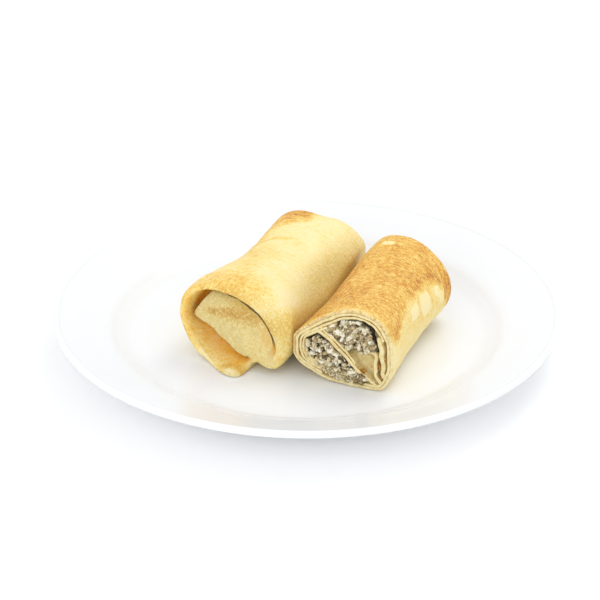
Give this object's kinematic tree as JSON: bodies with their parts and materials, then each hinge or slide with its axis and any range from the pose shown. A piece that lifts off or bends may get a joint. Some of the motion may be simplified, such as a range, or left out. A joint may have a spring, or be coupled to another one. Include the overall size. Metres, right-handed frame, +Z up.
{
  "type": "rolled crepe",
  "caption": "Rolled crepes with a savoury minced filling on a round white plate, one shown whole with folded ends and one cut open across.",
  "frame": {"origin": "centre of the plate's foot ring, on the surface that the plate stands on", "axes": "+Z up through the plate's centre; the rolls' open ends face towards -Y"},
  "size_m": [0.24, 0.24, 0.0507],
  "materials": {
    "plate": "smooth white glaze",
    "crepe_whole": "pale yellow crepe with golden brown mottling",
    "crepe_cut": "golden brown crepe with pale spots",
    "filling": "grey brown cooked minced meat, slightly moist"
  },
  "bodies": {
    "root": {"plate": "plate", "crepe_whole": "crepe_whole", "crepe_cut": "crepe_cut", "filling_lower": "filling", "filling_upper": "filling"}
  },
  "joints": []
}
